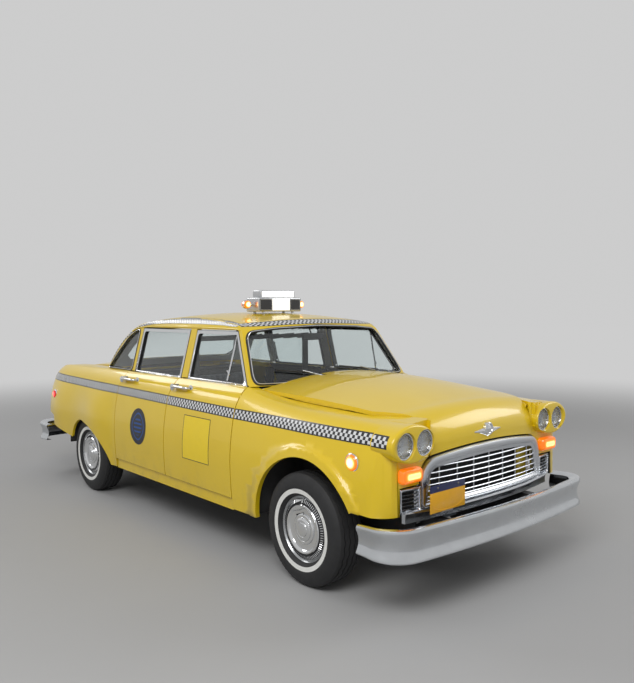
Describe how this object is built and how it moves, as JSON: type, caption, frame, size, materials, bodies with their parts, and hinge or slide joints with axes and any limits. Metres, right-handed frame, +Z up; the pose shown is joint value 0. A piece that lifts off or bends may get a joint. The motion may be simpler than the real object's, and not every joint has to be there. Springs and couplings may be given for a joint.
{
  "type": "taxi cab",
  "caption": "Full-size four-door taxi sedan with chequered side bands, roof sign, opening doors, hood and boot lid, and steered front wheels.",
  "frame": {"origin": "on the floor under the middle of the car's length and width", "axes": "+Z up, nose to -Y, the car's left side to +X"},
  "size_m": [1.956, 5.201, 1.8099],
  "materials": {
    "yellow_paint": "glossy, a little worn",
    "dark_metal": "satin",
    "chrome": "bright, lightly pitted",
    "silver": "satin",
    "steel": "dull",
    "engine_paint": "dull paint",
    "window_glass": "clear",
    "lamp_glass": "fluted",
    "amber_lens": "glossy",
    "red_lens": "glossy",
    "tyre": "matte",
    "seat": "satin",
    "cabin_trim": "matte",
    "partition": "satin",
    "sign": "satin",
    "plate": "satin"
  },
  "bodies": {
    "body": {"amber_lamps": "amber_lens", "body_glass": "window_glass", "bumper_front": "chrome", "bumper_rear": "chrome", "cowl": "yellow_paint", "dashboard": "cabin_trim", "driveline": "steel", "engine": "engine_paint", "engine_bay": "dark_metal", "exhaust": "steel", "fender_left": "yellow_paint", "fender_right": "yellow_paint", "floor_pan": "dark_metal", "frame": "dark_metal", "front_seat": "seat", "front_suspension": "dark_metal", "fuel_tank": "steel", "grille": "silver", "headlamps": "lamp_glass", "lamp_bezels": "yellow_paint", "partition": "partition", "pillars": "dark_metal", "plate_front": "plate", "quarter_left": "yellow_paint", "quarter_right": "yellow_paint", "rear_floor": "dark_metal", "rear_panels": "yellow_paint", "rear_seat": "seat", "red_lamps": "red_lens", "roof": "yellow_paint", "roof_sign": "sign"},
    "door_front_left": {"door_front_left": "yellow_paint", "glass_front_left": "window_glass"},
    "door_front_right": {"door_front_right": "yellow_paint", "glass_front_right": "window_glass"},
    "door_rear_left": {"door_rear_left": "yellow_paint", "glass_rear_left": "window_glass"},
    "door_rear_right": {"door_rear_right": "yellow_paint", "glass_rear_right": "window_glass"},
    "hood": {"hood": "yellow_paint"},
    "trunk_lid": {"trunk_lid": "yellow_paint", "plate_rear": "plate"},
    "knuckle_left": {"knuckle_left": "steel"},
    "knuckle_right": {"knuckle_right": "steel"},
    "steering_wheel": {"steering_wheel": "cabin_trim"},
    "wheel_front_left": {"wheel_front_left": "chrome", "tyre_front_left": "tyre"},
    "wheel_front_right": {"wheel_front_right": "chrome", "tyre_front_right": "tyre"},
    "wheel_rear_left": {"wheel_rear_left": "chrome", "tyre_rear_left": "tyre"},
    "wheel_rear_right": {"wheel_rear_right": "chrome", "tyre_rear_right": "tyre"}
  },
  "joints": [
    {"name": "steering", "type": "hinge", "parent": "body", "child": "steering_wheel", "pos_m": [0.365, -0.5905, 0.93], "axis": [0, 0.8829, 0.4695], "range_deg": [-480, 480]},
    {"name": "steer_left", "type": "hinge", "parent": "body", "child": "knuckle_left", "pos_m": [0.672, -1.7245, 0.342], "axis": [0, 0, 1], "range_deg": [-30, 30]},
    {"name": "wheel_front_left_spin", "type": "hinge", "parent": "knuckle_left", "child": "wheel_front_left", "pos_m": [0.806, -1.7245, 0.342], "axis": [1, 0, 0], "continuous": true},
    {"name": "wheel_rear_left_spin", "type": "hinge", "parent": "body", "child": "wheel_rear_left", "pos_m": [0.8015, 1.3235, 0.342], "axis": [1, 0, 0], "continuous": true},
    {"name": "door_front_left_hinge", "type": "hinge", "parent": "body", "child": "door_front_left", "pos_m": [0.928, -1.004, 0.75], "axis": [0, 0, -1], "range_deg": [0, 65]},
    {"name": "door_rear_left_hinge", "type": "hinge", "parent": "body", "child": "door_rear_left", "pos_m": [0.928, -0.104, 0.75], "axis": [0, 0, -1], "range_deg": [0, 65]},
    {"name": "steer_right", "type": "hinge", "parent": "body", "child": "knuckle_right", "pos_m": [-0.672, -1.7245, 0.342], "axis": [0, 0, 1], "range_deg": [-30, 30]},
    {"name": "wheel_front_right_spin", "type": "hinge", "parent": "knuckle_right", "child": "wheel_front_right", "pos_m": [-0.806, -1.7245, 0.342], "axis": [1, 0, 0], "continuous": true},
    {"name": "wheel_rear_right_spin", "type": "hinge", "parent": "body", "child": "wheel_rear_right", "pos_m": [-0.8015, 1.3235, 0.342], "axis": [1, 0, 0], "continuous": true},
    {"name": "door_front_right_hinge", "type": "hinge", "parent": "body", "child": "door_front_right", "pos_m": [-0.928, -1.004, 0.75], "axis": [0, 0, 1], "range_deg": [0, 65]},
    {"name": "door_rear_right_hinge", "type": "hinge", "parent": "body", "child": "door_rear_right", "pos_m": [-0.928, -0.104, 0.75], "axis": [0, 0, 1], "range_deg": [0, 65]},
    {"name": "hood_hinge", "type": "hinge", "parent": "body", "child": "hood", "pos_m": [0, -1.087, 1.15], "axis": [-1, 0, 0], "range_deg": [0, 45]},
    {"name": "trunk_hinge", "type": "hinge", "parent": "body", "child": "trunk_lid", "pos_m": [0, 1.387, 1.16], "axis": [1, 0, 0], "range_deg": [0, 70]}
  ],
  "couplings": [
    {"joint": "steer_left", "follows": "steering", "ratio": 0.0625},
    {"joint": "steer_right", "follows": "steering", "ratio": 0.0625}
  ]
}
